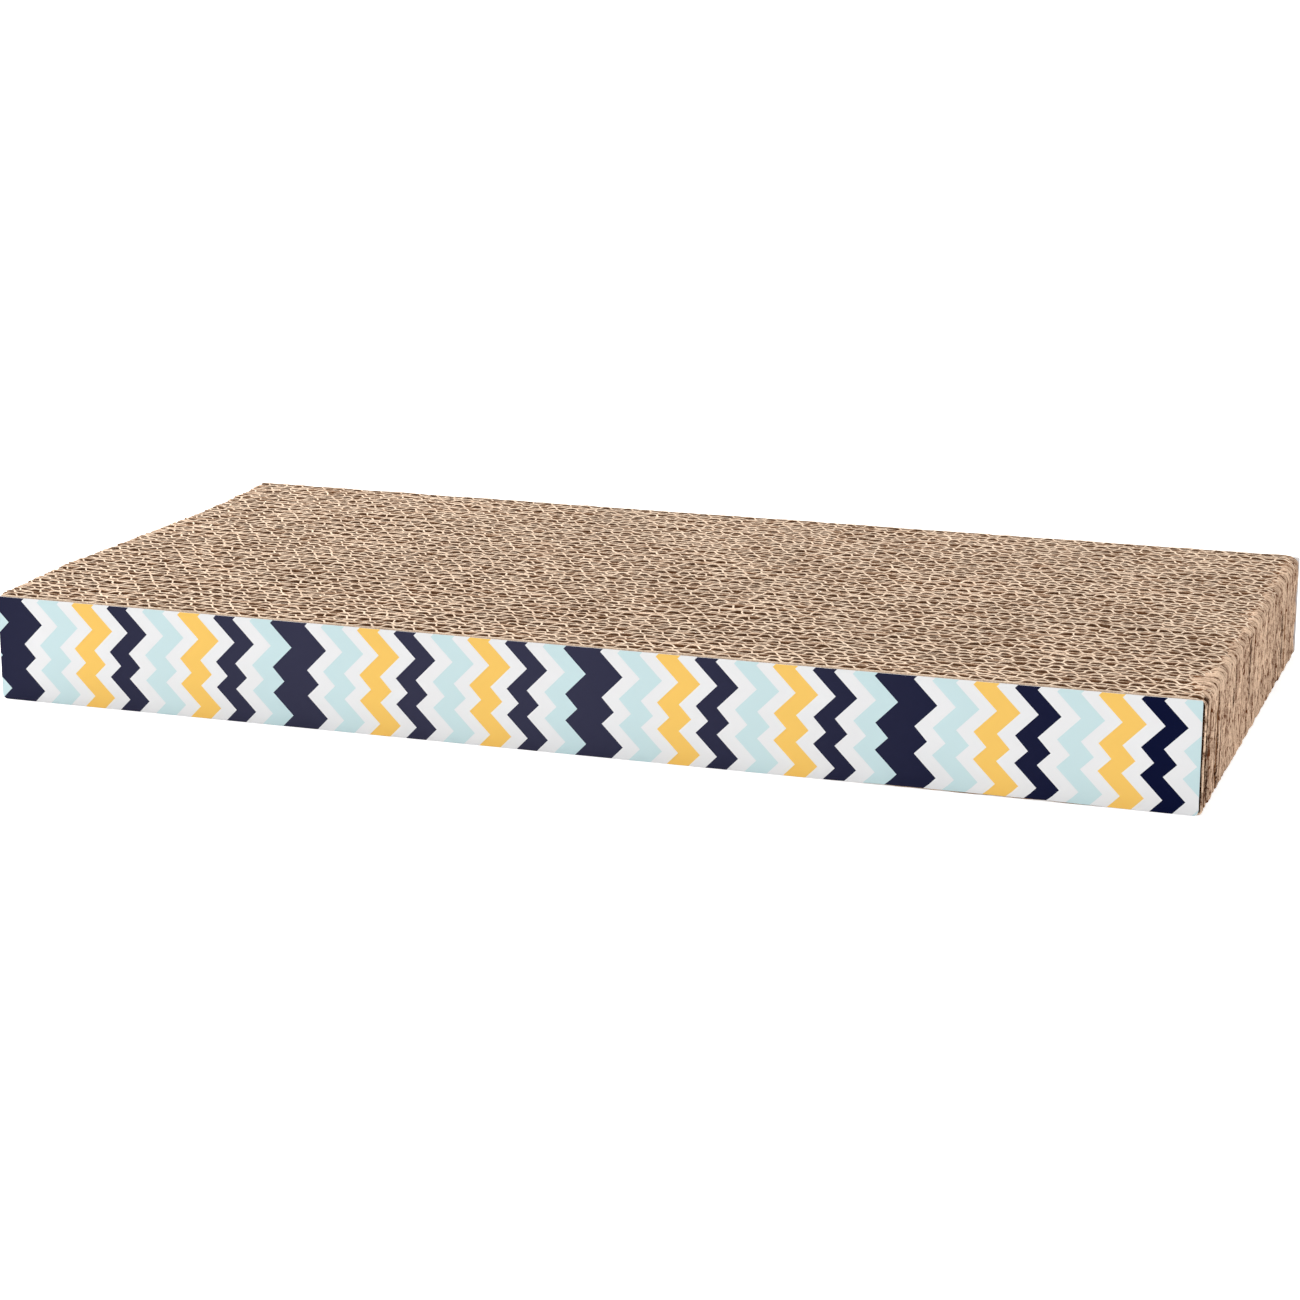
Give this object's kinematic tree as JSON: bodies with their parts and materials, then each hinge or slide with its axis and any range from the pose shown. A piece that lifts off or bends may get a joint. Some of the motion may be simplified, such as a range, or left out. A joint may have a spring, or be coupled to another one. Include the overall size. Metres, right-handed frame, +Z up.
{
  "type": "cat scratcher",
  "caption": "Flat cardboard cat scratcher: corrugated boards glued on edge into a slab, open flutes on top and underside, a chevron-printed panel along each long side.",
  "frame": {"origin": "middle of the underside, on the surface that the slab rests on", "axes": "+X along the boards and the printed panels, +Y from the front panel to the rear panel, +Z up along the flutes"},
  "size_m": [0.457, 0.2306, 0.041],
  "materials": {
    "kraft_board": "uncoated kraft paper with sawn, fuzzy cut edges",
    "printed_paper": "satin printed white paper with chevron stripes in navy, pale blue and yellow"
  },
  "bodies": {
    "root": {"front_panel": "printed_paper", "board_01": "kraft_board", "board_02": "kraft_board", "board_03": "kraft_board", "board_04": "kraft_board", "board_05": "kraft_board", "board_06": "kraft_board", "board_07": "kraft_board", "board_08": "kraft_board", "board_09": "kraft_board", "board_10": "kraft_board", "board_11": "kraft_board", "board_12": "kraft_board", "board_13": "kraft_board", "board_14": "kraft_board", "board_15": "kraft_board", "board_16": "kraft_board", "board_17": "kraft_board", "board_18": "kraft_board", "board_19": "kraft_board", "board_20": "kraft_board", "board_21": "kraft_board", "board_22": "kraft_board", "board_23": "kraft_board", "board_24": "kraft_board", "board_25": "kraft_board", "board_26": "kraft_board", "board_27": "kraft_board", "board_28": "kraft_board", "board_29": "kraft_board", "board_30": "kraft_board", "rear_panel": "printed_paper"}
  },
  "joints": []
}
